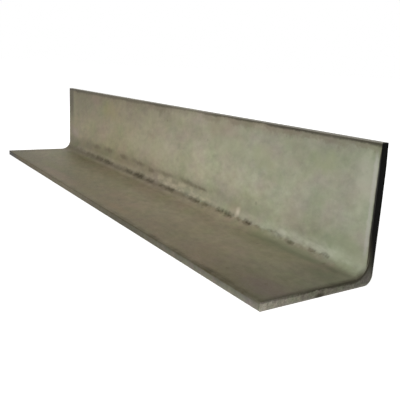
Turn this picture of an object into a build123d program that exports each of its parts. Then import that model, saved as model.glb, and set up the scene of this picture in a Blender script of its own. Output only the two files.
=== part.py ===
"""Equal-leg metal angle section: one rolled length with a round heel and a filleted root, sawn square.

Frame: X runs along the bar, Y from the toe of the flat leg to the back of the upright leg, Z up.
The origin is the middle of the footprint, on the surface that the flat leg lies on.
"""

from build123d import *
import os

# Driving dimensions, in millimetres.
bar_length = 304.8  # one foot, between the two sawn ends
flat_leg_width = 50.8  # two inches, from the outside of the upright leg to the toe
upright_leg_height = 50.8  # two inches, from the underside to the toe
leg_thickness = 3.2  # one eighth of an inch
root_radius = 6.4  # fillet in the inside corner
heel_radius = 3.8  # round on the outside corner
toe_arris_radius = 0.4  # worn edges along both toes
end_deburr = 0.25  # filed edge round each sawn end

# Places in the section, worked out from the driving dimensions.
heel_y = flat_leg_width / 2  # outside of the upright leg
toe_y = -flat_leg_width / 2  # toe of the flat leg
inside_y = heel_y - leg_thickness  # inside of the upright leg

with BuildPart() as angle_bar:
    with BuildSketch(Plane.YZ) as section:
        with BuildLine():
            Polyline(
                (heel_y, 0),
                (toe_y, 0),
                (toe_y, leg_thickness),
                (inside_y, leg_thickness),
                (inside_y, upright_leg_height),
                (heel_y, upright_leg_height),
                close=True,
            )
        make_face()

        # The two long curves that a rolled angle has: round outside, filleted inside.
        fillet(section.vertices().sort_by_distance((heel_y, 0))[0], heel_radius)
        fillet(section.vertices().sort_by_distance((inside_y, leg_thickness))[0], root_radius)

        # Both toes are square, with only their edges worn.
        fillet(section.vertices().group_by(Axis.X)[0], toe_arris_radius)
        fillet(section.vertices().group_by(Axis.Y)[-1], toe_arris_radius)
    extrude(amount=bar_length / 2, both=True)

    # Each sawn end keeps a narrow filed edge all the way round.
    for sawn_end in angle_bar.faces().filter_by(Axis.X):
        chamfer(sawn_end.edges(), end_deburr)

os.makedirs("parts", exist_ok=True)
angle_bar.part.label = "angle_bar"
export_step(angle_bar.part, "parts/angle_bar.step")
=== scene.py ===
import bpy
import math
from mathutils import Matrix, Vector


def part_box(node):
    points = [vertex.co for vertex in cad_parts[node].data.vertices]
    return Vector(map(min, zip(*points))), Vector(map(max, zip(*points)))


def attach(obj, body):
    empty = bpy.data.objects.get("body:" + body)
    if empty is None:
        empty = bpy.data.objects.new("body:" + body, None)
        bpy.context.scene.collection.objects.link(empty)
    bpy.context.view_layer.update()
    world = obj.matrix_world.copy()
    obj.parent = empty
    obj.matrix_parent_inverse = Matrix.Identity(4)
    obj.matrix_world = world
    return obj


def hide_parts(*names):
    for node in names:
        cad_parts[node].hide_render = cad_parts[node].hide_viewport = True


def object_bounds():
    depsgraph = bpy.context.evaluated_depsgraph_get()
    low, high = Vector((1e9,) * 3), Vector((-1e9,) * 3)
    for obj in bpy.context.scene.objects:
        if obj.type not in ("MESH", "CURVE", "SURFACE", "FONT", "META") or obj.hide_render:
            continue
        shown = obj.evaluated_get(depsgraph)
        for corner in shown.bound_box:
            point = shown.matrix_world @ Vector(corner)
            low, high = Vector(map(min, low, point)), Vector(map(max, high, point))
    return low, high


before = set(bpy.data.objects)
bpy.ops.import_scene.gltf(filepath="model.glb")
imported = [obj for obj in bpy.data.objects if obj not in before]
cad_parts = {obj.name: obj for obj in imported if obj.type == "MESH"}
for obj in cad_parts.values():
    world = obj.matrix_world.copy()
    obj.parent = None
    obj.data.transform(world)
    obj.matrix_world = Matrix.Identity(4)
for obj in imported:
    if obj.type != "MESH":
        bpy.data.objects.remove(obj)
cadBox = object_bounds()
barLow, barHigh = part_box("angle_bar")
mm = 0.001
print("frame loaded")


# Helpers for both kinds of node tree.

def plug(tree, socket, value):
    if isinstance(value, bpy.types.NodeSocket):
        tree.links.new(value, socket)
    else:
        socket.default_value = value


def addNode(tree, kind, inputs=None, **settings):
    node = tree.nodes.new(kind)
    for name, value in settings.items():
        setattr(node, name, value)
    for key, value in (inputs or {}).items():
        plug(tree, node.inputs[key], value)
    return node


def calc(tree, operation, *values, clamp=False):
    node = addNode(tree, "ShaderNodeMath", operation=operation, use_clamp=clamp)
    for socket, value in zip(node.inputs, values):
        plug(tree, socket, value)
    return node.outputs[0]


def plus(tree, a, b):
    return calc(tree, "ADD", a, b)


def minus(tree, a, b):
    return calc(tree, "SUBTRACT", a, b)


def product(tree, first, *others):
    for other in others:
        first = calc(tree, "MULTIPLY", first, other)
    return first


def easeBetween(tree, value, low, high, outLow=0.0, outHigh=1.0):
    inputs = {"Value": value, "From Min": low, "From Max": high, "To Min": outLow, "To Max": outHigh}
    return addNode(tree, "ShaderNodeMapRange", inputs, interpolation_type="SMOOTHSTEP").outputs[0]


def window(tree, value, start, full, fading, end):
    # 0 outside start and end, 1 from full to fading.
    return product(tree, easeBetween(tree, value, start, full), easeBetween(tree, value, end, fading))


def swing(tree, value, amount):
    # Turns a value about 0.5 into one that swings about 0.
    return calc(tree, "MULTIPLY", minus(tree, value, 0.5), amount)


def blendValue(tree, factor, a, b):
    return addNode(tree, "ShaderNodeMix", {0: factor, 2: a, 3: b}).outputs[0]


def blendVector(tree, factor, a, b):
    return addNode(tree, "ShaderNodeMix", {0: factor, 4: a, 5: b}, data_type="VECTOR").outputs[1]


def blendColor(tree, factor, a, b):
    return addNode(tree, "ShaderNodeMix", {0: factor, 6: a, 7: b}, data_type="RGBA").outputs[2]


def joinXyz(tree, x, y, z):
    return addNode(tree, "ShaderNodeCombineXYZ", {"X": x, "Y": y, "Z": z}).outputs[0]


def splitXyz(tree, vector):
    return addNode(tree, "ShaderNodeSeparateXYZ", {0: vector}).outputs


def vectorCalc(tree, operation, *values):
    node = addNode(tree, "ShaderNodeVectorMath", operation=operation)
    for socket, value in zip(node.inputs, values):
        plug(tree, socket, value)
    return node.outputs[0]


def scaled(tree, vector, factor):
    return addNode(tree, "ShaderNodeVectorMath", {0: vector, "Scale": factor}, operation="SCALE").outputs[0]


def lengthOf(tree, vector):
    return addNode(tree, "ShaderNodeVectorMath", {0: vector}, operation="LENGTH").outputs["Value"]


def dot(tree, a, b):
    return addNode(tree, "ShaderNodeVectorMath", {0: a, 1: b}, operation="DOT_PRODUCT").outputs["Value"]


def noise(tree, vector, scale, detail=2.0, roughness=0.5, output=0):
    inputs = {"Vector": vector, "Scale": scale, "Detail": detail, "Roughness": roughness}
    return addNode(tree, "ShaderNodeTexNoise", inputs).outputs[output]


def paint(tree, color, mask, shade):
    # Lays a shade, in levels of 0 to 255, over a color.
    return blendColor(tree, mask, color, srgb(*shade))


def addSockets(tree, inOut, sockets):
    kinds = {"float": "NodeSocketFloat", "int": "NodeSocketInt", "vector": "NodeSocketVector",
             "color": "NodeSocketColor", "geometry": "NodeSocketGeometry", "material": "NodeSocketMaterial"}
    for name, kind in sockets.items():
        tree.interface.new_socket(name=name, in_out=inOut, socket_type=kinds[kind])


def srgb(red, green, blue):
    # A linear color from levels of 0 to 255.
    levels = [level / 255 for level in (red, green, blue)]
    linear = [level / 12.92 if level <= 0.04045 else ((level + 0.055) / 1.055) ** 2.4 for level in levels]
    return linear + [1.0]


# Shader groups that the rolled and the sawn metal share. Places come in millimetres.

def makeGroup(name, inputs, outputs):
    tree = bpy.data.node_groups.new(name, "ShaderNodeTree")
    addSockets(tree, "INPUT", inputs)
    addSockets(tree, "OUTPUT", outputs)
    return tree, tree.nodes.new("NodeGroupInput").outputs, tree.nodes.new("NodeGroupOutput").inputs


def makeMottle():
    # Patches of slightly other hues, over light and dark clouds that hold smaller blotches.
    tree, given, result = makeGroup("mottle", {
        "Place": "vector", "Color": "color", "Hue Scale": "float", "Hue Strength": "float",
        "Cloud Scale": "float", "Cloud Strength": "float",
        "Blotch Scale": "float", "Blotch Strength": "float"}, {"Color": "color"})
    hue = noise(tree, given["Place"], given["Hue Scale"], detail=4.0, roughness=0.66, output=1)
    redness, blueness = splitXyz(tree, vectorCalc(tree, "SUBTRACT", hue, (0.5, 0.5, 0.5)))[:2]
    greenChange = product(tree, redness, -0.3)
    blueChange = calc(tree, "MULTIPLY_ADD", blueness, 0.8, redness)
    hue = scaled(tree, joinXyz(tree, redness, greenChange, blueChange), given["Hue Strength"])
    aside = vectorCalc(tree, "ADD", given["Place"], (31.0, 17.0, 5.0))
    cloud = noise(tree, aside, given["Cloud Scale"], detail=4.0, roughness=0.75)
    blotch = noise(tree, aside, given["Blotch Scale"], detail=4.0, roughness=0.62)
    change = plus(tree, swing(tree, cloud, given["Cloud Strength"]),
                  swing(tree, blotch, given["Blotch Strength"]))
    level = plus(tree, 1.0, change)
    levels = vectorCalc(tree, "ADD", hue, joinXyz(tree, level, level, level))
    plug(tree, result["Color"], vectorCalc(tree, "MULTIPLY", given["Color"], levels))
    return tree


def makeGrain():
    # Fine scale grain and faint lines drawn out along the bar: a height about 0.5, which serves bump, color
    # and roughness.
    tree, given, result = makeGroup("grain", {
        "Place": "vector", "Grain Scale": "float", "Line Share": "float"}, {"Height": "float"})
    grainNoise = noise(tree, given["Place"], given["Grain Scale"], detail=3.0, roughness=0.65)
    drawn = vectorCalc(tree, "MULTIPLY", given["Place"], (0.03, 1.0, 1.0))
    lines = noise(tree, drawn, 1.6, detail=3.0, roughness=0.6)
    plug(tree, result["Height"], blendValue(tree, given["Line Share"], grainNoise, lines))
    return tree


def makeSpecks():
    # Small dark pits: one in each chosen cell, the rest of the cells are left clean.
    tree, given, result = makeGroup("specks", {
        "Place": "vector", "Cell Scale": "float", "Size": "float", "Share": "float"}, {"Mask": "float"})
    cells = addNode(tree, "ShaderNodeTexVoronoi", {"Vector": given["Place"], "Scale": given["Cell Scale"]})
    chance = splitXyz(tree, cells.outputs["Color"])[0]
    chosen = calc(tree, "LESS_THAN", chance, given["Share"])
    fullWithin = calc(tree, "MULTIPLY", given["Size"], 0.4)
    spot = easeBetween(tree, cells.outputs["Distance"], given["Size"], fullWithin)
    plug(tree, result["Mask"], product(tree, spot, chosen))
    return tree


def makeEdgeWear():
    # A band along an edge, whose width swells and shrinks and whose inner side is ragged.
    tree, given, result = makeGroup("edgeWear", {
        "Place": "vector", "Gap": "float", "Width": "float", "Unevenness": "float"}, {"Mask": "float"})
    slow = noise(tree, given["Place"], 0.07, detail=2.0)
    quick = noise(tree, given["Place"], 0.6, detail=4.0, roughness=0.65)
    uneven = plus(tree, swing(tree, slow, 2.4), swing(tree, quick, 1.2))
    width = calc(tree, "MULTIPLY_ADD", uneven, given["Unevenness"], 1.0)
    reach = product(tree, calc(tree, "MAXIMUM", width, 0.15), given["Width"])
    share = calc(tree, "DIVIDE", given["Gap"], reach)
    plug(tree, result["Mask"], easeBetween(tree, share, 1.0, 0.45))
    return tree


def makeStain():
    # A soft patch with ragged sides round a middle point.
    tree, given, result = makeGroup("stain", {
        "Place": "vector", "Middle": "vector", "Reach": "vector"}, {"Mask": "float"})
    away = vectorCalc(tree, "SUBTRACT", given["Place"], given["Middle"])
    away = vectorCalc(tree, "DIVIDE", away, given["Reach"])
    ragged = swing(tree, noise(tree, given["Place"], 0.16, detail=5.0, roughness=0.65), 1.8)
    distance = plus(tree, lengthOf(tree, away), ragged)
    plug(tree, result["Mask"], easeBetween(tree, distance, 1.1, 0.15))
    return tree


mottle = makeMottle()
grain = makeGrain()
specks = makeSpecks()
edgeWear = makeEdgeWear()
stain = makeStain()


def useGroup(tree, group, inputs, output):
    return addNode(tree, "ShaderNodeGroup", inputs, node_tree=group).outputs[output]


def startMaterial(name):
    material = bpy.data.materials.new(name)
    material.use_nodes = True
    tree = material.node_tree
    tree.nodes.clear()
    shader = addNode(tree, "ShaderNodeBsdfPrincipled")
    addNode(tree, "ShaderNodeOutputMaterial", {"Surface": shader.outputs[0]})
    objectPlace = addNode(tree, "ShaderNodeTexCoord").outputs["Object"]
    return material, tree, shader, scaled(tree, objectPlace, 1 / mm)


def rampAlong(tree, value, stops):
    # Colors, or plain levels, at places given in millimetres.
    start, end = stops[0][0], stops[-1][0]
    inputs = {"Value": value, "From Min": start, "From Max": end}
    ramp = addNode(tree, "ShaderNodeValToRGB", {0: addNode(tree, "ShaderNodeMapRange", inputs).outputs[0]})
    elements = ramp.color_ramp.elements
    while len(elements) < len(stops):
        elements.new(0.5)
    for element, (place, shade) in zip(elements, stops):
        element.position = (place - start) / (end - start)
        element.color = srgb(*shade) if isinstance(shade, tuple) else (shade, shade, shade, 1.0)
    return ramp.outputs[0]


# The bar's sizes, which its materials share.

barSettings = {
    "Length": barHigh.x - barLow.x,
    "Toe Y": barLow.y,
    "Heel Y": barHigh.y,
    "Height": barHigh.z,
    "Thickness": 3.2 * mm,
    "Root Radius": 6.4 * mm,
    "Heel Radius": 3.8 * mm,
    "Toe Edge": 0.4 * mm,
    "Sawn Edge": 0.12 * mm,
    "Points Along": 420,
    "Points Around": 100,
    "Points Through": 4,
    "Fillet Points": 32,         # round each filleted corner
    "Corner Crowding": 0.6,      # draws the points round the section towards the root
    "Face Wave": 0.06 * mm,
    "Toe Wander": 0.16 * mm,
    "Root Ripple": 0.24 * mm,
    "Root Draw": 0.4 * mm,       # how much tighter the root is at one end, across its middle
    "Lap Depth": 0.4 * mm,
    "End Lean": 0.5 * mm,        # how far the top of one sawn end stands back
    "Seed": 7.0,
}

# The sizes that the materials go by, in millimetres. X runs from -barEnd to barEnd.
barEnd = barSettings["Length"] / 2 / mm
legThickness = barSettings["Thickness"] / mm
rootRadius = barSettings["Root Radius"] / mm
wallY = barSettings["Heel Y"] / mm - legThickness       # the inner face of the upright leg


# The rolled faces: dull mill metal, paler on the upright leg partly by painted light, darker in and above the
# root by painted shade and dirt, with painted highlights along the root's crest, and dark at the toes.
# Tones and lines go along the bar, by place in millimetres. Four numbers say where a mark starts, is full,
# fades and ends: over the root, as overRoot gives it, along the bar or up the leg.

rolledSettings = {
    # The tones along the bar are partly the metal's own tone and partly painted sheen and shade: both legs
    # are darker towards their ends, and the upright leg is paler than the lying one partly by painted light.
    "wallTones": [(-152, (136, 128, 102)), (-50, (148, 140, 114)), (45, (157, 154, 131)),
                  (108, (152, 151, 131)), (125, (142, 142, 123)), (152, (138, 141, 121))],
    "flatTones": [(-152, (114, 107, 78)), (40, (141, 132, 109)), (110, (134, 127, 104)),
                  (152, (111, 109, 91))],
    "toeFaceTones": [(-152, (34, 32, 24)), (-138, (50, 44, 29)), (-122, (76, 66, 38)), (-30, (90, 82, 62)),
                     (50, (68, 63, 46)), (152, (86, 84, 74))],
    # painted light reflected from the floor lightens the toe face's lower side towards one end
    "toeFaceShade": (0.6, 1.0, 1.9),        # how the lower side of the toe face differs, along the bar
    "topLine": [(-152, 0.7), (-110, 0.56), (-30, 0.5), (-10, 0.68), (32, 0.46), (56, 0.7), (90, 0.76),
                (112, 0.88), (127, 0.7), (140, 0.84), (152, 0.86)],
    "toeLine": [(-152, 0.15), (-40, 0.2), (24, 0.26), (60, 0.5), (152, 0.7)],
    # painted shade: the upright leg darkens towards its top
    "topShade": (0.69, 0.82),               # how much tone the top of the upright leg keeps, at both ends
    "toeTint": (0.6, 0.57, 0.5),
    "slant": (-0.88, 0.41, -0.24),          # which way the mottle is stretched
    "stretch": 0.5,                         # how much, midway along the bar
    "stretchChange": -0.0008,               # and how that changes with each millimetre
    "legMottle": {"Hue Scale": 0.08, "Hue Strength": 0.34, "Cloud Scale": 0.06, "Blotch Scale": 0.3},
    "cloudStrength": (0.5, 0.62),           # on the lying leg and on the upright one
    "blotchStrength": (0.7, 0.55),
    "toeMottle": {"Hue Scale": 0.2, "Hue Strength": 0.4, "Cloud Scale": 0.12, "Cloud Strength": 0.7,
                  "Blotch Scale": 0.45, "Blotch Strength": 0.9},
    "grain": {"Grain Scale": 1.3, "Line Share": 0.15},
    "specks": {"Cell Scale": 0.17, "Size": 0.2, "Share": 0.07},
    "speckStrength": 0.25,
    # painted light: a paler band on the lying leg beside the root, where the upright leg shades it
    "paintedLightBandOver": (-13.0, -7.0, -6.0, -3.5),
    "paintedLightBandLift": (0.05, 0.16),           # how much paler it is, along the bar
    # painted shade and dirt in and above the root
    "rootShadeDirtColor": (70, 61, 46),
    "greenShadeDirtColor": (60, 66, 44),
    "hazeOver": (-9.0, -2.0, 8.5, 14.5),
    "hazeStrength": 0.28,
    "coreOver": (-3.5, 0.2, 1.6, 4.5),
    "coreStrength": 0.34,
    # painted highlight along the root's crest
    "crestHighlightColor": (178, 180, 162),
    "crestHighlightOver": (0.4, 1.9, 4.0, 8.0),
    # painted highlights as pale flecks on the root, and fainter ones low on the fillet
    "paleHighlightColor": (180, 170, 146),
    "highlightFleckOver": (1.6, 2.8, 6.5, 9.5),
    "highlightFleckAlong": (-30.0, 15.0, 42.0, 62.0),
    "highlightFleckStrength": 0.6,
    "lowHighlightOver": (-5.0, -3.2, -2.0, -0.8),
    "lowHighlightAlong": (-98.0, -85.0, 42.0, 66.0),
    "lowHighlightStrength": 0.14,
    "lapColor": (54, 47, 28),
    "lapStainStrength": 0.5,
    "toeColor": (54, 47, 20),
    "toeRustColor": (86, 73, 46),
    "topColor": (43, 39, 28),
    "topRustColor": (84, 72, 54),
    "rustWidth": 5.0,
    "rustStrength": (0.3, 0.45),            # along the toe and along the top
    "toeLineWidth": 3.0,
    # painted highlight on the top face of the upright leg
    "topFaceHighlightColor": (146, 142, 130),
    "topFaceHighlightStrength": 0.55,
    "farEndColor": (70, 66, 50),
    "endShadeColor": (56, 51, 37),
    "endShadeStrength": 0.9,
    "burrColor": (22, 20, 16),
    "burrUnevenness": 0.25,
    "scuffColor": (168, 165, 160),
    "scuffFromEnd": (3.2, 2.2, 1.7, 0.6),
    "scuffUp": (7.0, 14.0, 44.0, 50.0),
    "scuffStrength": 0.42,
    "roughness": 0.58,
    "lapRoughness": 0.15,                   # how much rougher the laps are
    "metallic": 0.1,
    "specular": 0.25,
    "bumpStrength": 0.35,
    "bumpDistance": 0.15 * mm,
}

# Old stains and rubbed places: middle and reach in millimetres, color and strength.
stains = [
    ((-74, 22, 40), (18, 9, 8), (140, 132, 88), 0.4),      # olive
    ((-95, 22, 45), (14, 9, 4), (122, 106, 92), 0.4),      # brown
    ((-142, 22, 18), (12, 9, 5), (148, 130, 124), 0.5),    # faded red
    ((-137, 22, 9), (14, 9, 4), (98, 104, 72), 0.5),       # green
    ((124, 22, 49), (20, 9, 5), (112, 101, 86), 0.15),     # grey
    ((128, 22, 39), (10, 9, 7), (134, 141, 104), 0.45),    # olive green
    ((92, 22, 36), (12, 9, 7), (141, 146, 112), 0.45),
    ((6, 22, 45), (13, 9, 4), (120, 112, 93), 0.5),        # brown below the top edge
    ((-24, 22, 46), (11, 9, 4), (106, 100, 85), 0.5),
    # painted sheen, paler across the middle of the upright leg
    ((-12, 22, 24), (45, 9, 8), (164, 156, 132), 0.3),     # paler
    ((58, 22, 45), (18, 9, 7), (130, 118, 98), 0.4),       # brown
    ((-96, 22, 12.6), (10, 9, 2.2), (90, 78, 60), 0.45),   # brown streaks above the root
    ((-75, 22, 13.8), (11, 9, 2.6), (92, 80, 62), 0.55),
    ((-51, 22, 12.8), (9, 9, 2.4), (90, 80, 60), 0.55),
    ((-26, 22, 12.8), (12, 9, 2.4), (90, 80, 57), 0.55),
    ((-10, 22, 11.4), (6, 9, 1.8), (88, 80, 58), 0.45),
    ((6, 22, 12.1), (10, 9, 2.2), (92, 82, 58), 0.45),
    ((29, 22, 12.2), (12, 9, 2.2), (88, 80, 58), 0.45),
    ((45, 22, 11.8), (8, 9, 1.7), (84, 76, 54), 0.6),
    ((74, 22, 7.8), (8, 5, 5.5), (160, 144, 124), 0.5),
    ((74, 18, 4.4), (6, 4, 1.6), (138, 116, 100), 0.3),
    ((87, 22, 10), (7, 5, 5), (148, 156, 126), 0.4),       # pale green
    ((148, 22, 34), (8, 9, 17), (164, 163, 146), 0.45),    # paler beside the burr
    ((143, 21, 9), (13, 7, 8), (132, 142, 112), 0.55),     # green in the root
    ((114, 17, 3.8), (24, 6, 2.5), (112, 118, 90), 0.4),
    # painted highlight on the root's crest
    ((138, 21, 7.8), (6, 6, 3.4), (168, 172, 150), 0.55),
    ((76, 22, 7.9), (2.2, 5, 2.9), (212, 200, 180), 0.6),  # rubbed bright
    ((-4, 22, 49), (22, 9, 4), (110, 102, 84), 0.55),      # brown below the top edge
    ((84, 22, 49.5), (38, 9, 4), (128, 115, 100), 0.45),
    ((66, 22, 37), (20, 9, 7), (144, 148, 122), 0.45),     # faint green
    ((-84, -14, 3), (24, 6, 9), (110, 108, 66), 0.5),
    ((-56, -20, 3), (40, 6, 9), (124, 104, 84), 0.45),
    ((-6, -19, 3), (20, 5, 9), (116, 106, 74), 0.4),
    ((32, -19, 3), (22, 4, 9), (126, 106, 78), 0.4),
    ((-90, 14, 3.2), (20, 5, 3), (112, 98, 78), 0.4),
    ((143, -16, 3), (15, 8, 9), (106, 92, 86), 0.45),
    ((-153, -25, 3), (8, 4, 9), (62, 60, 48), 0.6),
    ((112, 17, 3), (30, 6, 9), (108, 110, 88), 0.5),
    ((92, 19, 4.2), (10, 4.5, 2.5), (124, 125, 95), 0.5),  # green in front of the root
    ((99, 13, 3.2), (15, 8, 3), (118, 119, 90), 0.4),
    ((109, 17.6, 3.4), (4, 2, 2), (88, 88, 66), 0.3),
    ((114, 20.6, 5.1), (2.5, 2, 1.5), (84, 86, 64), 0.55),
    # painted highlight on the root's crest
    ((108, 22, 7.2), (3.5, 3, 2), (184, 182, 164), 0.5),
    ((141, 17, 3.3), (9, 3, 3), (84, 88, 68), 0.5),
    ((124, 17.6, 3.6), (20, 4, 2.5), (118, 122, 98), 0.4),
    ((144, 11, 3.3), (10, 7, 3), (96, 102, 80), 0.35),
    ((111, 22, 17), (9, 9, 6), (134, 132, 110), 0.4),
]


def overRoot(tree, y, z):
    # Runs along the section: below 0 on the lying leg, above 0 on the upright one.
    return minus(tree, minus(tree, z, legThickness), minus(tree, wallY, y))


def drawnOut(tree, place, x):
    # Stretches a pattern slantwise along the bar, most at its darker end.
    s = rolledSettings
    share = calc(tree, "MULTIPLY_ADD", x, s["stretchChange"], s["stretch"])
    along = scaled(tree, s["slant"], product(tree, dot(tree, place, s["slant"]), share))
    return vectorCalc(tree, "SUBTRACT", place, along)


def rolledLegs(tree, x, y, z, place):
    # Each leg has its own tones, and the upright leg's paler tone is partly painted light. They meet in the
    # root, along a ragged line that softens towards one end. Painted shade darkens the top of the upright
    # leg, and a band of painted light lifts the lying leg beside the root.
    s = rolledSettings
    over = overRoot(tree, y, z)
    raggedness = easeBetween(tree, x, 65.0, 95.0, 5.0, 9.0)
    ragged = swing(tree, noise(tree, place, 0.4, detail=5.0, roughness=0.65), raggedness)
    softness = easeBetween(tree, x, 118.0, 148.0, easeBetween(tree, x, 84.0, 102.0, 0.7, 2.8), 3.8)
    meeting = easeBetween(tree, x, 84.0, 102.0, 1.0, 0.4)
    fromMeeting = plus(tree, minus(tree, over, meeting), ragged)
    upright = easeBetween(tree, calc(tree, "DIVIDE", fromMeeting, softness), -1.0, 1.0)
    # painted shade, darker towards the top of the upright leg
    shade = easeBetween(tree, z, 22.0, 44.0, 1.0, easeBetween(tree, x, -barEnd, barEnd, *s["topShade"]))
    wall = scaled(tree, rampAlong(tree, x, s["wallTones"]), shade)
    tint = blendVector(tree, easeBetween(tree, y, 4.0, -22.0), (1.0, 1.0, 1.0), s["toeTint"])
    flat = vectorCalc(tree, "MULTIPLY", rampAlong(tree, x, s["flatTones"]), tint)
    # painted light on the lying leg beside the root
    paintedLightBand = window(tree, calc(tree, "MULTIPLY_ADD", ragged, 0.3, over), *s["paintedLightBandOver"])
    lift = product(tree, paintedLightBand, easeBetween(tree, x, -60.0, 100.0, *s["paintedLightBandLift"]),
                   easeBetween(tree, x, barEnd, 132.0))
    flat = scaled(tree, flat, plus(tree, lift, 1.0))
    return blendColor(tree, upright, flat, wall), upright


def rootMarks(tree, color, x, y, z, place, isInside):
    # Painted shade and dirt in and above the root, a painted highlight along the crest over it and pale
    # painted highlights as flecks.
    s = rolledSettings
    over = overRoot(tree, y, z)
    ragged = swing(tree, noise(tree, place, 0.2, detail=5.0, roughness=0.7), 6.0)
    around = plus(tree, over, ragged)
    # painted shade and dirt: darker in and above the root, where the crease is shaded
    haze = product(tree, window(tree, around, *s["hazeOver"]), s["hazeStrength"])
    core = product(tree, window(tree, around, *s["coreOver"]), s["coreStrength"])
    onFlat = easeBetween(tree, x, -10.0, 90.0, 1.0, 0.05)
    onWall = easeBetween(tree, x, -10.0, barEnd, 1.0, 0.15)
    along = blendValue(tree, easeBetween(tree, over, -2.0, 3.0), onFlat, onWall)
    shadeAndDirt = product(tree, plus(tree, haze, core), along, isInside)
    greening = easeBetween(tree, x, 40.0, 95.0)
    rootShadeDirtColor = paint(tree, srgb(*s["rootShadeDirtColor"]), greening, s["greenShadeDirtColor"])
    color = blendColor(tree, shadeAndDirt, color, rootShadeDirtColor)

    drawn = vectorCalc(tree, "MULTIPLY", place, (0.45, 1.0, 1.0))
    patchy = easeBetween(tree, noise(tree, drawn, 0.22, detail=4.0, roughness=0.65), 0.35, 0.65)
    # painted highlight along the crest of the root
    crestHighlight = product(tree, window(tree, over, *s["crestHighlightOver"]), easeBetween(tree, x, 60.0, 125.0), patchy,
                    isInside, easeBetween(tree, x, 138.0, 152.0, 0.45, 0.1))
    color = paint(tree, color, crestHighlight, s["crestHighlightColor"])
    # painted highlights in pale flecks along the root, and a fainter painted highlight low on the fillet
    highlightFleck = easeBetween(tree, noise(tree, drawn, 0.3, detail=3.0, roughness=0.6), 0.38, 0.68)
    highlightFleck = product(tree, highlightFleck, window(tree, over, *s["highlightFleckOver"]), window(tree, x, *s["highlightFleckAlong"]),
                    s["highlightFleckStrength"])
    low = product(tree, window(tree, calc(tree, "MULTIPLY_ADD", ragged, 0.4, over), *s["lowHighlightOver"]),
                  window(tree, x, *s["lowHighlightAlong"]), patchy, s["lowHighlightStrength"])
    paleHighlight = product(tree, calc(tree, "MAXIMUM", highlightFleck, low), isInside)
    return paint(tree, color, paleHighlight, s["paleHighlightColor"])


def lapMarks(tree, color, place):
    # The laps, each a frayed stain with a dark core.
    s = rolledSettings
    lap = addNode(tree, "ShaderNodeAttribute", attribute_name="lap").outputs["Fac"]
    depth = addNode(tree, "ShaderNodeAttribute", attribute_name="lapDepth").outputs["Fac"]
    fray = swing(tree, noise(tree, place, 0.6, detail=5.0, roughness=0.7), 1.3)
    frayed = plus(tree, lap, product(tree, fray, easeBetween(tree, lap, 0.0, 0.25)))
    stained = product(tree, easeBetween(tree, frayed, 0.0, 0.7), s["lapStainStrength"])
    core = easeBetween(tree, frayed, 0.2, 1.15)
    mask = product(tree, calc(tree, "MAXIMUM", stained, core), depth)
    return paint(tree, color, mask, s["lapColor"]), product(tree, lap, depth)


def stainMarks(tree, color, place, isInside):
    for middle, reach, shade, strength in stains:
        mask = useGroup(tree, stain, {"Place": place, "Middle": middle, "Reach": reach}, "Mask")
        color = paint(tree, color, product(tree, mask, isInside, strength), shade)
    return color


def endMarks(tree, color, x, z, place, isInside):
    # The saw has left a black burr and a pale scuff beside it at one end. The other end is darker.
    s = rolledSettings
    ragged = swing(tree, noise(tree, place, 0.5, detail=4.0, roughness=0.6), 1.6)
    along = plus(tree, x, ragged)
    scuffSpan = [barEnd - gap for gap in s["scuffFromEnd"]]
    scuff = product(tree, window(tree, along, *scuffSpan), isInside, window(tree, z, *s["scuffUp"]))
    color = paint(tree, color, product(tree, scuff, s["scuffStrength"]), s["scuffColor"])
    shade = product(tree, easeBetween(tree, along, barEnd - 2.8, barEnd + 0.2),
                    easeBetween(tree, z, 8.0, 4.0), s["endShadeStrength"])
    color = paint(tree, color, product(tree, shade, isInside), s["endShadeColor"])

    burrWidth = easeBetween(tree, z, 8.0, 20.0, 0.75, easeBetween(tree, z, 20.0, 38.0, 1.25, 1.05))
    burrWidth = minus(tree, burrWidth, easeBetween(tree, z, 45.0, 50.0, 0.0, 0.4))
    burr = useGroup(tree, edgeWear, {
        "Place": place, "Gap": minus(tree, barEnd, x), "Width": burrWidth,
        "Unevenness": s["burrUnevenness"]}, "Mask")
    burrColor = paint(tree, srgb(*s["endShadeColor"]), easeBetween(tree, z, 9.0, 20.0), s["burrColor"])
    color = blendColor(tree, product(tree, burr, isInside, easeBetween(tree, z, 5.0, 9.0)), color, burrColor)

    farShare = easeBetween(tree, z, 22.0, 42.0, 0.25, 0.8)
    farEnd = easeBetween(tree, along, 11.0 - barEnd, 6.5 - barEnd, 0.0, farShare)
    return paint(tree, color, product(tree, farEnd, isInside), s["farEndColor"])


def toeFace(tree, color, toeGap, x, z, place):
    # The narrow toe face of the lying leg. Its lower side is lighter towards one end by painted light
    # reflected from the floor, and darker towards the other end.
    s = rolledSettings
    farShade, middleShade, nearShade = s["toeFaceShade"]
    farHalf = easeBetween(tree, x, -barEnd, 0.0, farShade, middleShade)
    lowShade = easeBetween(tree, x, 40.0, barEnd, farHalf, nearShade)
    shade = easeBetween(tree, z, legThickness, 0.0, 1.0, lowShade)
    tone = scaled(tree, rampAlong(tree, x, s["toeFaceTones"]), shade)
    tone = useGroup(tree, mottle, {"Place": place, "Color": tone, **s["toeMottle"]}, "Color")
    return blendColor(tree, easeBetween(tree, toeGap, 0.5, 0.25), color, tone)


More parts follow.
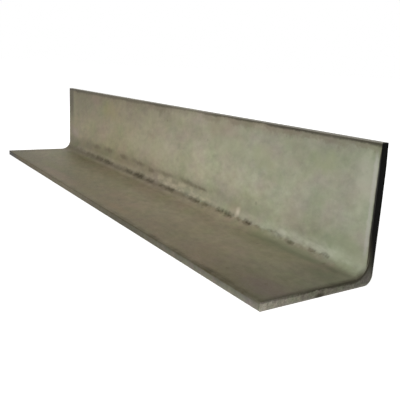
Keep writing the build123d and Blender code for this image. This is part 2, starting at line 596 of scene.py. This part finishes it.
def toeMarks(tree, color, x, y, z, place):
    # The toe face, and a dark uneven line with a browner zone along the upper edge of both legs, and a
    # painted highlight on the narrow top face of the upright leg.
    s = rolledSettings
    topGap = minus(tree, barSettings["Height"] / mm, z)
    toeGap = minus(tree, y, barSettings["Toe Y"] / mm)
    color = toeFace(tree, color, toeGap, x, z, place)

    onTopSide = easeBetween(tree, z, 0.6 * legThickness, 0.9 * legThickness)
    lowGap = plus(tree, toeGap, easeBetween(tree, onTopSide, 1.0, 0.0, 0.4, 9.0))
    isTop = calc(tree, "LESS_THAN", topGap, lowGap)
    gap = calc(tree, "MINIMUM", topGap, lowGap)
    breaks = noise(tree, joinXyz(tree, x, 0.0, 0.0), 0.07, detail=3.0, roughness=0.65)
    broken = easeBetween(tree, breaks, 0.35, 0.65, 0.4, 1.5)
    strength = blendValue(tree, isTop, product(tree, rampAlong(tree, x, s["toeLine"]), broken),
                          rampAlong(tree, x, s["topLine"]))
    zone = useGroup(tree, edgeWear, {
        "Place": place, "Gap": gap, "Width": s["rustWidth"], "Unevenness": 1.2}, "Mask")
    zoneShare = blendValue(tree, isTop, *s["rustStrength"])
    rust = paint(tree, srgb(*s["toeRustColor"]), isTop, s["topRustColor"])
    color = blendColor(tree, product(tree, zone, strength, zoneShare), color, rust)
    topWidth = easeBetween(tree, x, 75.0, 115.0, easeBetween(tree, x, -60.0, 60.0, 2.5, 1.6), 1.9)
    line = useGroup(tree, edgeWear, {
        "Place": place, "Gap": gap, "Width": blendValue(tree, isTop, s["toeLineWidth"], topWidth),
        "Unevenness": 0.8}, "Mask")
    dark = paint(tree, srgb(*s["toeColor"]), isTop, s["topColor"])
    color = blendColor(tree, product(tree, line, strength), color, dark)
    # painted highlight along the top face of the upright leg, where its edge catches the light
    topFaceHighlight = product(tree, easeBetween(tree, topGap, 0.45, 0.2), s["topFaceHighlightStrength"])
    return paint(tree, color, topFaceHighlight, s["topFaceHighlightColor"])


def makeRolledMetal():
    s = rolledSettings
    material, tree, shader, place = startMaterial("rolledMetal")
    x, y, z = splitXyz(tree, place)
    margin = 0.3
    isInside = product(tree, calc(tree, "LESS_THAN", y, wallY + margin),
                       calc(tree, "GREATER_THAN", z, legThickness - margin))
    color, upright = rolledLegs(tree, x, y, z, place)
    color = useGroup(tree, mottle, {
        "Place": drawnOut(tree, place, x), "Color": color, **s["legMottle"],
        "Cloud Strength": blendValue(tree, upright, *s["cloudStrength"]),
        "Blotch Strength": blendValue(tree, upright, *s["blotchStrength"])}, "Color")
    grainHeight = useGroup(tree, grain, {"Place": place, **s["grain"]}, "Height")
    level = easeBetween(tree, grainHeight, 0.2, 0.8, 0.95, 1.05)
    color = scaled(tree, color, level)
    color = stainMarks(tree, color, place, isInside)
    color = rootMarks(tree, color, x, y, z, place, isInside)
    color, lap = lapMarks(tree, color, place)
    speckMask = useGroup(tree, specks, {"Place": place, **s["specks"]}, "Mask")
    color = paint(tree, color, product(tree, speckMask, s["speckStrength"]), s["lapColor"])
    color = endMarks(tree, color, x, z, place, isInside)
    color = toeMarks(tree, color, x, y, z, place)
    plug(tree, shader.inputs["Base Color"], color)

    roughness = easeBetween(tree, grainHeight, 0.25, 0.75, s["roughness"] - 0.08, s["roughness"] + 0.1)
    plug(tree, shader.inputs["Roughness"], calc(tree, "MULTIPLY_ADD", lap, s["lapRoughness"], roughness))
    shader.inputs["Metallic"].default_value = s["metallic"]
    shader.inputs["Specular IOR Level"].default_value = s["specular"]
    bump = addNode(tree, "ShaderNodeBump", {
        "Strength": s["bumpStrength"], "Distance": s["bumpDistance"], "Height": grainHeight})
    plug(tree, shader.inputs["Normal"], bump.outputs[0])
    return material


# The sawn ends: black towards the top of the upright leg, lighter lower down and towards the toe of the flat
# one, with painted light from the floor along their bottom edge.

sawnSettings = {
    "darkColor": (6, 6, 5),
    "heelColor": (82, 79, 72),
    "cornerColor": (50, 49, 37),
    # painted light from the floor along the bottom edge of the sawn face
    "floorLightColor": (160, 156, 146),
    "lipColor": (124, 122, 108),
    "endTones": [(-25.4, (155, 150, 136)), (-8, (124, 121, 106)), (6, (106, 104, 90)),
                 (25.4, (106, 104, 95))],          # from toe to heel
    "lineColor": (50, 47, 34),
    "mottle": {"Hue Scale": 0.3, "Hue Strength": 0.35, "Cloud Scale": 0.28, "Cloud Strength": 1.5,
               "Blotch Scale": 0.9, "Blotch Strength": 1.1},
    "grain": {"Grain Scale": 1.6, "Line Share": 0.0},
    "floorLightStrength": 0.5,
    "notchReach": (9.0, 3.0, 1.5),          # a dark place low on the edge, midway across
    "notchStrength": 0.8,
    "lipUp": (3.6, 5.0, 9.0, 14.0),
    "lipStrength": 0.4,
    "roughness": (0.66, 0.85),
    "specular": 0.06,
    "strokePitch": 0.9,
    "bumpStrength": 0.5,
    "bumpDistance": 0.12 * mm,
}


def fromInside(tree, y, z):
    # How far a point of the sawn face lies from the inner outline of the section, round the root as well.
    across = calc(tree, "MAXIMUM", minus(tree, y, wallY - rootRadius), 0.0)
    down = calc(tree, "MAXIMUM", minus(tree, legThickness + rootRadius, z), 0.0)
    return minus(tree, lengthOf(tree, joinXyz(tree, across, down, 0.0)), rootRadius)


def makeSawnMetal():
    s = sawnSettings
    material, tree, shader, place = startMaterial("sawnMetal")
    y, z = splitXyz(tree, place)[1:3]
    ragged = swing(tree, noise(tree, place, 0.3, detail=3.0), 4.0)
    height = plus(tree, z, ragged)
    color = rampAlong(tree, y, s["endTones"])
    color = useGroup(tree, mottle, {"Place": place, "Color": color, **s["mottle"]}, "Color")
    grainHeight = useGroup(tree, grain, {"Place": place, **s["grain"]}, "Height")
    level = easeBetween(tree, grainHeight, 0.25, 0.75, 0.74, 1.26)
    color = scaled(tree, color, level)

    heelTone = paint(tree, srgb(*s["heelColor"]), easeBetween(tree, height, 4.0, 9.0), s["cornerColor"])
    color = blendColor(tree, easeBetween(tree, height, 1.5, 6.0, 0.0, 0.85), color, heelTone)
    # painted light: the floor's reflection lightens the lowest millimetre of the sawn face
    floorLightHeight = plus(tree, z, product(tree, ragged, 0.25))
    floorLightRim = easeBetween(tree, floorLightHeight, 1.1, 0.1, 0.0, s["floorLightStrength"])
    color = paint(tree, color, floorLightRim, s["floorLightColor"])
    notch = useGroup(tree, stain, {
        "Place": place, "Middle": (barEnd, 0.0, 0.6), "Reach": s["notchReach"]}, "Mask")
    color = paint(tree, color, product(tree, notch, s["notchStrength"]), s["lineColor"])

    inner = fromInside(tree, y, z)
    line = useGroup(tree, edgeWear, {
        "Place": place, "Gap": inner, "Width": easeBetween(tree, y, -20.0, 10.0, 0.8, 1.3),
        "Unevenness": 1.0}, "Mask")
    lineStrength = easeBetween(tree, y, -22.0, 4.0, 0.5, 0.8)
    color = paint(tree, color, product(tree, line, lineStrength), s["lineColor"])
    lip = product(tree, easeBetween(tree, inner, 0.6, 0.1), window(tree, z, *s["lipUp"]))
    color = paint(tree, color, product(tree, lip, s["lipStrength"]), s["lipColor"])
    outwards = minus(tree, y, barSettings["Heel Y"] / mm - legThickness / 2)
    darkness = calc(tree, "MULTIPLY_ADD", outwards, 4.0, height)
    color = paint(tree, color, easeBetween(tree, darkness, 3.5, 16.0), s["darkColor"])
    plug(tree, shader.inputs["Base Color"], color)

    plug(tree, shader.inputs["Roughness"], easeBetween(tree, grainHeight, 0.2, 0.8, *s["roughness"]))
    shader.inputs["Specular IOR Level"].default_value = s["specular"]
    strokes = addNode(tree, "ShaderNodeTexWave", {
        "Vector": place, "Scale": 1 / s["strokePitch"], "Distortion": 1.5, "Detail": 2.0},
        bands_direction="DIAGONAL")
    relief = blendValue(tree, 0.5, grainHeight, strokes.outputs["Fac"])
    bump = addNode(tree, "ShaderNodeBump", {
        "Strength": s["bumpStrength"], "Distance": s["bumpDistance"], "Height": relief})
    plug(tree, shader.inputs["Normal"], bump.outputs[0])
    return material


# Rolling laps, each a stroke in or just above the root: where it starts and ends along the bar, its height
# above the ground at both ends and its width, in millimetres, and its share of the full depth.
rootLaps = [
    (-110, -96, 6.0, 5.9, 3.4, 0.4), (-93, -82, 5.9, 5.8, 4.0, 0.8), (-78, -70, 5.8, 5.6, 4.0, 0.85),
    (-69, -65, 5.7, 5.6, 3.6, 0.6), (-43, -35, 5.9, 5.6, 3.4, 0.7), (-29, -20, 5.7, 5.5, 5.0, 0.95),
    (-13, -6, 5.5, 5.4, 3.4, 0.75), (3, 9, 5.6, 5.5, 2.6, 0.6), (11, 18, 5.5, 5.3, 3.6, 0.8),
    (28, 30, 5.3, 5.2, 2.6, 0.3), (35, 39, 5.5, 5.4, 3.2, 0.65), (40, 44, 5.4, 5.3, 3.6, 0.85),
    (49, 52, 5.5, 5.4, 3.2, 0.7), (61, 65, 5.5, 5.4, 3.6, 0.8), (68, 73, 5.4, 5.2, 4.0, 0.85),
    (77, 80, 5.5, 5.3, 2.6, 0.45), (83, 87, 5.6, 5.2, 3.6, 0.85), (90, 93, 5.6, 5.3, 2.4, 0.35),
    (98, 106, 5.9, 6.3, 1.4, 0.45), (106, 108, 5.6, 5.2, 2.2, 0.4), (111, 116, 5.5, 5.0, 2.8, 0.6),
    (124.5, 127.5, 5.4, 5.4, 2.0, 0.7), (130.5, 134.5, 5.6, 5.9, 2.0, 0.75),
    (26, 36, 11.9, 11.8, 4.0, 0.1), (37, 48, 11.8, 11.7, 4.0, 0.18),
]


def makeLapStrokes():
    # One edge for each lap, on the fillet or on the wall above it.
    filletY = (barSettings["Heel Y"] - barSettings["Thickness"]) / mm - rootRadius
    filletZ = legThickness + rootRadius
    places, edges, reaches, depths = [], [], [], []
    for start, end, startHeight, endHeight, width, depth in rootLaps:
        edges.append((len(places), len(places) + 1))
        reaches.append(width / 2 * mm)
        depths.append(depth)
        for along, height in ((start, startHeight), (end, endHeight)):
            drop = max(filletZ - height, 0.0)         # how far below the top of the fillet
            places.append((along * mm, (filletY + math.sqrt(rootRadius ** 2 - drop ** 2)) * mm, height * mm))
    mesh = bpy.data.meshes.new("lapStrokes")
    mesh.from_pydata(places, edges, [])
    mesh.attributes.new("reach", "FLOAT", "EDGE").data.foreach_set("value", reaches)
    mesh.attributes.new("depth", "FLOAT", "EDGE").data.foreach_set("value", depths)
    return mesh


def makeLegPathTree():
    tree = bpy.data.node_groups.new("legPath", "GeometryNodeTree")
    addSockets(tree, "INPUT", {"Toe Y": "float", "Corner Y": "float", "Corner Z": "float",
                               "Height": "float", "Radius": "float", "Fillet Points": "int"})
    addSockets(tree, "OUTPUT", {"Curve": "geometry"})
    given = tree.nodes.new("NodeGroupInput").outputs
    index = addNode(tree, "GeometryNodeInputIndex").outputs[0]
    line = addNode(tree, "GeometryNodeMeshLine", {"Count": 3})
    y = blendValue(tree, calc(tree, "LESS_THAN", index, 0.5), given["Corner Y"], given["Toe Y"])
    z = blendValue(tree, calc(tree, "GREATER_THAN", index, 1.5), given["Corner Z"], given["Height"])
    corners = addNode(tree, "GeometryNodeSetPosition", {
        "Geometry": line.outputs[0], "Position": joinXyz(tree, 0.0, y, z)})
    path = addNode(tree, "GeometryNodeMeshToCurve", {"Mesh": corners.outputs[0]})
    rounded = addNode(tree, "GeometryNodeFilletCurve", {
        "Curve": path.outputs[0], "Count": given["Fillet Points"], "Radius": given["Radius"]}, mode="POLY")
    addNode(tree, "NodeGroupOutput", {"Curve": rounded.outputs[0]})
    return tree


def sweptSection(tree, given):
    # A cube of points: X runs along the bar, Y follows the section from toe to toe, Z goes through the metal.
    cube = addNode(tree, "GeometryNodeMeshCube", {
        "Size": (1.0, 1.0, 1.0), "Vertices X": given["Points Along"],
        "Vertices Y": given["Points Around"], "Vertices Z": given["Points Through"]})
    cubeX, cubeY, cubeZ = splitXyz(tree, addNode(tree, "GeometryNodeInputPosition").outputs[0])
    around = plus(tree, cubeY, 0.5)
    through = plus(tree, cubeZ, 0.5)
    wave = calc(tree, "SINE", calc(tree, "MULTIPLY", around, math.tau))
    crowding = calc(tree, "DIVIDE", given["Corner Crowding"], math.tau)
    factor = calc(tree, "MULTIPLY_ADD", wave, crowding, around)

    legPath = makeLegPathTree()
    insideY = minus(tree, given["Heel Y"], given["Thickness"])
    onLine = []
    for cornerY, cornerZ, radius in ((given["Heel Y"], 0.0, given["Heel Radius"]),
                                     (insideY, given["Thickness"], given["Root Radius"])):
        path = addNode(tree, "GeometryNodeGroup", {
            "Toe Y": given["Toe Y"], "Corner Y": cornerY, "Corner Z": cornerZ, "Height": given["Height"],
            "Radius": radius, "Fillet Points": given["Fillet Points"]}, node_tree=legPath)
        sample = addNode(tree, "GeometryNodeSampleCurve", {
            "Curves": path.outputs[0], "Factor": factor}, mode="FACTOR", use_all_curves=True)
        onLine.append(sample.outputs["Position"])
    along = joinXyz(tree, calc(tree, "MULTIPLY", cubeX, given["Length"]), 0.0, 0.0)
    place = vectorCalc(tree, "ADD", along, blendVector(tree, through, *onLine))
    return addNode(tree, "GeometryNodeSetPosition", {
        "Geometry": cube.outputs[0], "Position": place}).outputs[0]


def sampleOnEdge(tree, geometry, name, index):
    stored = addNode(tree, "GeometryNodeInputNamedAttribute", {"Name": name}).outputs[0]
    return addNode(tree, "GeometryNodeSampleIndex", {
        "Geometry": geometry, "Value": stored, "Index": index}, domain="EDGE").outputs[0]


def nearestLap(tree, given, position):
    # 1 on the nearest lap's stroke, falling to 0 at its edge, and that lap's share of the full depth.
    near = addNode(tree, "GeometryNodeProximity", {
        0: given["Laps"], "Sample Position": position}, target_element="EDGES")
    nearIndex = addNode(tree, "GeometryNodeSampleNearest", {
        "Geometry": given["Laps"], "Sample Position": position}, domain="EDGE").outputs[0]
    reach, depth = [sampleOnEdge(tree, given["Laps"], name, nearIndex) for name in ("reach", "depth")]
    away = calc(tree, "DIVIDE", near.outputs["Distance"], reach)
    return calc(tree, "SUBTRACT", 1.0, away, clamp=True), depth


# How the rolled surface differs from the plain section. Noise scales are per metre.

reliefSettings = {
    "waveScale": 35.0,
    "rippleScale": 420.0,
    "rippleStretch": (0.45, 1.0, 1.0),
    "rootReach": (13 * mm, 4 * mm),         # from the root, where the ripple starts and where it is full
    "warpScale": 320.0,
    "lapWarp": (6.0 * mm, 3.6 * mm, 3.6 * mm),
    "drawnAlong": (60 * mm, 150 * mm),      # where the tighter root starts and where it is full
    "drawnRound": (0.74, 1.0),              # the same round the fillet, as a cosine from its middle
    "wanderScale": 130.0,
    "wanderStretch": (1.0, 0.2, 0.2),
    "toeReach": 4 * mm,
    "leanReach": 6 * mm,
}


def rootDraw(tree, given, x, y, z, insideY):
    # Towards one end the root is rolled tighter: its middle lies nearer the corner.
    middleY = minus(tree, insideY, given["Root Radius"])
    middleZ = plus(tree, given["Thickness"], given["Root Radius"])
    fromMiddle = joinXyz(tree, 0.0, minus(tree, y, middleY), minus(tree, z, middleZ))
    toCorner = (0.0, math.sqrt(0.5), -math.sqrt(0.5))
    facing = dot(tree, vectorCalc(tree, "NORMALIZE", fromMiddle), toCorner)
    return product(tree, easeBetween(tree, facing, *reliefSettings["drawnRound"]), given["Root Draw"],
                   easeBetween(tree, x, *reliefSettings["drawnAlong"]))


def rolledRelief(tree, given):
    s = reliefSettings
    position = addNode(tree, "GeometryNodeInputPosition").outputs[0]
    x, y, z = splitXyz(tree, position)
    shifted = vectorCalc(tree, "ADD", position, joinXyz(tree, given["Seed"], given["Seed"], given["Seed"]))

    # Every face is a little hollow in places, always inwards.
    wave = product(tree, noise(tree, shifted, s["waveScale"], detail=1.0), given["Face Wave"])

    # The root is rippled, and the laps are pressed into it.
    insideY = minus(tree, given["Heel Y"], given["Thickness"])
    margin = 0.05 * mm
    isInside = product(tree, calc(tree, "LESS_THAN", y, plus(tree, insideY, margin)),
                       calc(tree, "GREATER_THAN", z, minus(tree, given["Thickness"], margin)))
    overLying = minus(tree, z, given["Thickness"])
    fromRoot = plus(tree, minus(tree, insideY, y), overLying)
    nearRoot = product(tree, easeBetween(tree, fromRoot, *s["rootReach"]), isInside)
    ripplePlace = vectorCalc(tree, "MULTIPLY", shifted, s["rippleStretch"])
    rippleNoise = noise(tree, ripplePlace, s["rippleScale"], detail=3.0, roughness=0.6)
    ripple = product(tree, swing(tree, rippleNoise, given["Root Ripple"]), nearRoot)
    warp = noise(tree, shifted, s["warpScale"], detail=4.0, roughness=0.7, output=1)
    warp = vectorCalc(tree, "MULTIPLY", vectorCalc(tree, "SUBTRACT", warp, (0.5, 0.5, 0.5)), s["lapWarp"])
    lap, depth = nearestLap(tree, given, vectorCalc(tree, "ADD", position, warp))
    lap = product(tree, lap, isInside)
    press = product(tree, lap, depth, given["Lap Depth"])
    height = minus(tree, minus(tree, ripple, press), wave)
    height = minus(tree, height, product(tree, rootDraw(tree, given, x, y, z, insideY), isInside))
    normal = addNode(tree, "GeometryNodeInputNormal").outputs[0]
    outward = vectorCalc(tree, "MULTIPLY", normal, (0.0, 1.0, 1.0))

    # Both toes run a little in and out, the top one half as much.
    wanderPlace = vectorCalc(tree, "MULTIPLY", shifted, s["wanderStretch"])
    wander = noise(tree, wanderPlace, s["wanderScale"], detail=4.0, roughness=0.65)
    wander = product(tree, wander, given["Toe Wander"])
    atToe = easeBetween(tree, minus(tree, y, given["Toe Y"]), s["toeReach"], 0.0)
    atTop = easeBetween(tree, minus(tree, given["Height"], z), s["toeReach"], 0.0)
    drawnIn = joinXyz(tree, 0.0, product(tree, atToe, wander), product(tree, atTop, wander, -0.5))
    return vectorCalc(tree, "ADD", scaled(tree, outward, height), drawnIn), {"lap": lap, "lapDepth": depth}


def endLean(tree, given):
    # The saw has cut one end a little off square, towards its top.
    place = splitXyz(tree, addNode(tree, "GeometryNodeInputPosition").outputs[0])
    x, z = place["X"], place["Z"]
    end = calc(tree, "DIVIDE", given["Length"], 2.0)
    atEnd = easeBetween(tree, minus(tree, end, x), reliefSettings["leanReach"], 0.0)
    upper = plus(tree, easeBetween(tree, z, 40 * mm, 52 * mm, 0.0, 0.8),
                 easeBetween(tree, z, 26 * mm, 42 * mm, 0.0, 0.2))
    return joinXyz(tree, product(tree, atEnd, upper, given["End Lean"], -1.0), 0.0, 0.0)


def makeBarTree():
    tree = bpy.data.node_groups.new("rolledBar", "GeometryNodeTree")
    addSockets(tree, "INPUT", {"Laps": "geometry"})
    for name, value in barSettings.items():
        addSockets(tree, "INPUT", {name: "int" if isinstance(value, int) else "float"})
    addSockets(tree, "INPUT", {"Rolled Metal": "material", "Sawn Metal": "material"})
    addSockets(tree, "OUTPUT", {"Bar": "geometry"})
    given = tree.nodes.new("NodeGroupInput").outputs
    bar = sweptSection(tree, given)

    offset, marks = rolledRelief(tree, given)
    for name, value in marks.items():
        bar = addNode(tree, "GeometryNodeStoreNamedAttribute", {
            "Geometry": bar, "Name": name, "Value": value}).outputs[0]
    bar = addNode(tree, "GeometryNodeSetPosition", {"Geometry": bar, "Offset": offset}).outputs[0]

    # Square edges get the width that the Bevel modifier rounds them to.
    edgeX = splitXyz(tree, addNode(tree, "GeometryNodeInputPosition").outputs[0])[0]
    margin = 0.2 * mm
    endAt = minus(tree, calc(tree, "DIVIDE", given["Length"], 2.0), margin)
    isEnd = calc(tree, "GREATER_THAN", calc(tree, "ABSOLUTE", edgeX), endAt)
    angle = addNode(tree, "GeometryNodeInputMeshEdgeAngle").outputs[0]
    squareFrom = math.radians(60)
    isSquare = calc(tree, "GREATER_THAN", angle, squareFrom)
    sawnShare = calc(tree, "DIVIDE", given["Sawn Edge"], given["Toe Edge"])
    weight = product(tree, isSquare, blendValue(tree, isEnd, 1.0, sawnShare))
    storeWeight = addNode(tree, "GeometryNodeStoreNamedAttribute", {
        "Geometry": bar, "Name": "bevel_weight_edge", "Value": weight}, domain="EDGE")
    leaning = addNode(tree, "GeometryNodeSetPosition", {
        "Geometry": storeWeight.outputs[0], "Offset": endLean(tree, given)})
    smooth = addNode(tree, "GeometryNodeSetShadeSmooth", {"Geometry": leaning.outputs[0]})

    real = addNode(tree, "GeometryNodeRealizeInstances", {"Geometry": smooth.outputs[0]})
    rolled = addNode(tree, "GeometryNodeSetMaterial", {
        "Geometry": real.outputs[0], "Material": given["Rolled Metal"]})
    normalX = splitXyz(tree, addNode(tree, "GeometryNodeInputNormal").outputs[0])[0]
    sawnFrom = 0.7          # how far a sawn face's normal points along the bar, at least
    isSawn = calc(tree, "GREATER_THAN", calc(tree, "ABSOLUTE", normalX), sawnFrom)
    sawn = addNode(tree, "GeometryNodeSetMaterial", {
        "Geometry": rolled.outputs[0], "Selection": isSawn, "Material": given["Sawn Metal"]})
    addNode(tree, "NodeGroupOutput", {"Bar": sawn.outputs[0]})
    return tree


def makeBar(rolledMetal, sawnMetal):
    tree = makeBarTree()
    guide = bpy.data.objects.new("lapStrokes", makeLapStrokes())
    bpy.context.scene.collection.objects.link(guide)
    build = guide.modifiers.new("rolledBar", "NODES")
    build.node_group = tree
    values = {**barSettings, "Rolled Metal": rolledMetal, "Sawn Metal": sawnMetal}
    for item in tree.interface.items_tree:
        if item.name in values:
            build[item.identifier] = values[item.name]
    bevel = guide.modifiers.new("edges", "BEVEL")
    bevel.limit_method = "WEIGHT"
    bevel.width = barSettings["Toe Edge"]
    bevel.segments = 3
    mesh = bpy.data.meshes.new_from_object(guide.evaluated_get(bpy.context.evaluated_depsgraph_get()))
    bpy.data.objects.remove(guide)
    bar = bpy.data.objects.new("rolled_bar", mesh)
    bpy.context.scene.collection.objects.link(bar)
    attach(bar, "root")
    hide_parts("angle_bar")
    mesh.calc_loop_triangles()
    print("bar built:", len(mesh.loop_triangles), "triangles")
    return bar


makeBar(makeRolledMetal(), makeSawnMetal())


# Floor, light and camera.

stageSettings = {
    "floorSize": 30.0,
    "floorColor": (0.82, 0.82, 0.82, 1.0),
    "floorGlow": 0.68,            # seen by the camera and in reflections only: it makes the floor white
    "skyLevel": 0.42,
    "keyPower": 4.2,
    "keySize": 0.5,
    "keyPlace": (0.38, -0.6, 0.28),
    "backPower": 0.9,
    "backSize": 0.5,
    "backPlace": (-0.5, 0.3, 0.5),
}


def seenDirectly(tree):
    path = addNode(tree, "ShaderNodeLightPath").outputs
    seen = calc(tree, "MAXIMUM", path["Is Camera Ray"], path["Is Glossy Ray"])
    return calc(tree, "MAXIMUM", seen, path["Is Transmission Ray"])


def makeFloor():
    half = stageSettings["floorSize"] / 2
    corners = [(-half, -half, 0), (half, -half, 0), (half, half, 0), (-half, half, 0)]
    mesh = bpy.data.meshes.new("floor")
    mesh.from_pydata(corners, [], [(0, 1, 2, 3)])
    floor = bpy.data.objects.new("floor", mesh)
    bpy.context.scene.collection.objects.link(floor)
    material = bpy.data.materials.new("paleFloor")
    material.use_nodes = True
    tree = material.node_tree
    tree.nodes.clear()
    diffuse = addNode(tree, "ShaderNodeBsdfDiffuse", {"Color": stageSettings["floorColor"]})
    glow = addNode(tree, "ShaderNodeEmission", {
        "Strength": calc(tree, "MULTIPLY", seenDirectly(tree), stageSettings["floorGlow"])})
    both = addNode(tree, "ShaderNodeAddShader", {0: diffuse.outputs[0], 1: glow.outputs[0]})
    addNode(tree, "ShaderNodeOutputMaterial", {"Surface": both.outputs[0]})
    mesh.materials.append(material)


def makeSky():
    world = bpy.data.worlds.new("sky")
    bpy.context.scene.world = world
    world.use_nodes = True
    tree = world.node_tree
    tree.nodes.clear()
    strength = blendValue(tree, seenDirectly(tree), stageSettings["skyLevel"], 1.0)
    sky = addNode(tree, "ShaderNodeBackground", {"Color": (1.0, 1.0, 1.0, 1.0), "Strength": strength})
    addNode(tree, "ShaderNodeOutputWorld", {"Surface": sky.outputs[0]})


def makeLamp(name, power, size, place):
    lamp = bpy.data.lights.new(name, "AREA")
    lamp.shape = "DISK"
    lamp.size = size
    lamp.energy = power
    holder = bpy.data.objects.new(name, lamp)
    holder.location = place
    middle = (cadBox[0] + cadBox[1]) / 2
    holder.rotation_euler = (middle - holder.location).to_track_quat("-Z", "Y").to_euler()
    holder.visible_camera = False
    bpy.context.scene.collection.objects.link(holder)


cameraSettings = {
    "imageWidth": 400,
    "focalPixels": 546.1,
    "sensorWidth": 36.0,
    "clipStart": 0.01,
    "place": (0.27101, -0.1264, 0.07196),
    "turn": (76.318, -2.946, 57.606),
}


def makeCamera():
    s = cameraSettings
    lens = bpy.data.cameras.new("camera")
    lens.sensor_width = s["sensorWidth"]
    lens.lens = s["focalPixels"] * s["sensorWidth"] / s["imageWidth"]
    lens.clip_start = s["clipStart"]
    camera = bpy.data.objects.new("camera", lens)
    camera.location = s["place"]
    camera.rotation_euler = [math.radians(turn) for turn in s["turn"]]
    bpy.context.scene.collection.objects.link(camera)
    bpy.context.scene.camera = camera


makeFloor()
makeSky()
for name in ("key", "back"):
    makeLamp(name, *(stageSettings[name + part] for part in ("Power", "Size", "Place")))
makeCamera()
bpy.context.scene.view_settings.view_transform = "Standard"
print("stage, light and camera set")
